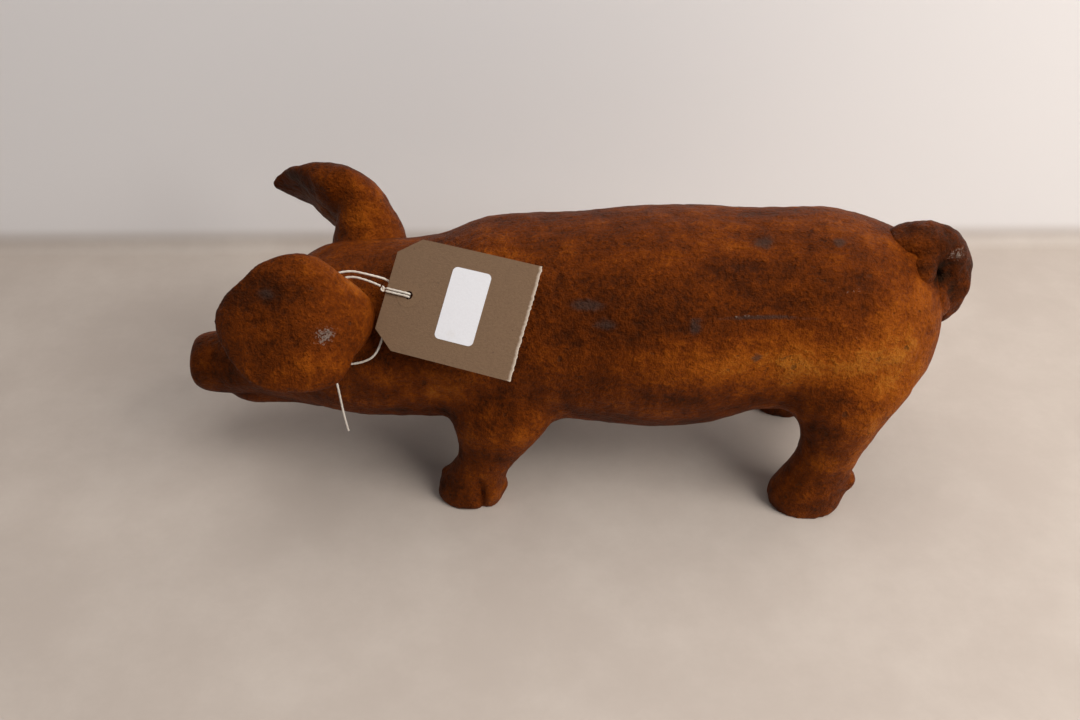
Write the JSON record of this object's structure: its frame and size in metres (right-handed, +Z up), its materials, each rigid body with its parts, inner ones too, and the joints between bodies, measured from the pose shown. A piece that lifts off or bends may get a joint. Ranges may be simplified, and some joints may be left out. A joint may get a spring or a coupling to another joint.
{
  "type": "pig figurine",
  "caption": "Standing pig ornament of hollow rusted cast iron in two bolted halves, with flop ears, a curled tail and a blank card tag tied to one ear.",
  "frame": {"origin": "on the floor, under the middle of the pig's length and width", "axes": "+X from snout to tail, +Y towards the pig's right side, +Z up"},
  "size_m": [0.431, 0.172, 0.1638],
  "materials": {
    "rusted_iron": "dry rust, rough, with darker worn spots",
    "worn_iron": "dark rust, rubbed half bright",
    "fixing_steel": "rusted steel",
    "buff_card": "matt buff card",
    "white_paper": "smooth white label paper",
    "cotton": "twisted cotton string"
  },
  "bodies": {
    "pig": {"left_half": "rusted_iron", "right_half": "rusted_iron", "left_ear": "rusted_iron", "right_ear": "rusted_iron", "tail": "worn_iron", "ear_bolts": "fixing_steel", "ear_washers": "fixing_steel", "tie_screws": "fixing_steel", "string_loop": "cotton"},
    "knot": {"string_knot": "cotton"},
    "tag": {"tag_card": "buff_card", "tag_patch": "buff_card", "tag_sticker": "white_paper", "string_hitch": "cotton"}
  },
  "joints": [
    {"name": "tag_swing", "type": "hinge", "parent": "pig", "child": "knot", "pos_m": [-0.0949, -0.03238, 0.13241], "axis": [-0.2204, -0.6647, 0.7139], "range_deg": [0, 20]},
    {"name": "tag_lift", "type": "hinge", "parent": "knot", "child": "tag", "pos_m": [-0.0949, -0.03238, 0.13241], "axis": [-0.2409, -0.6721, -0.7002], "range_deg": [0, 75]}
  ]
}
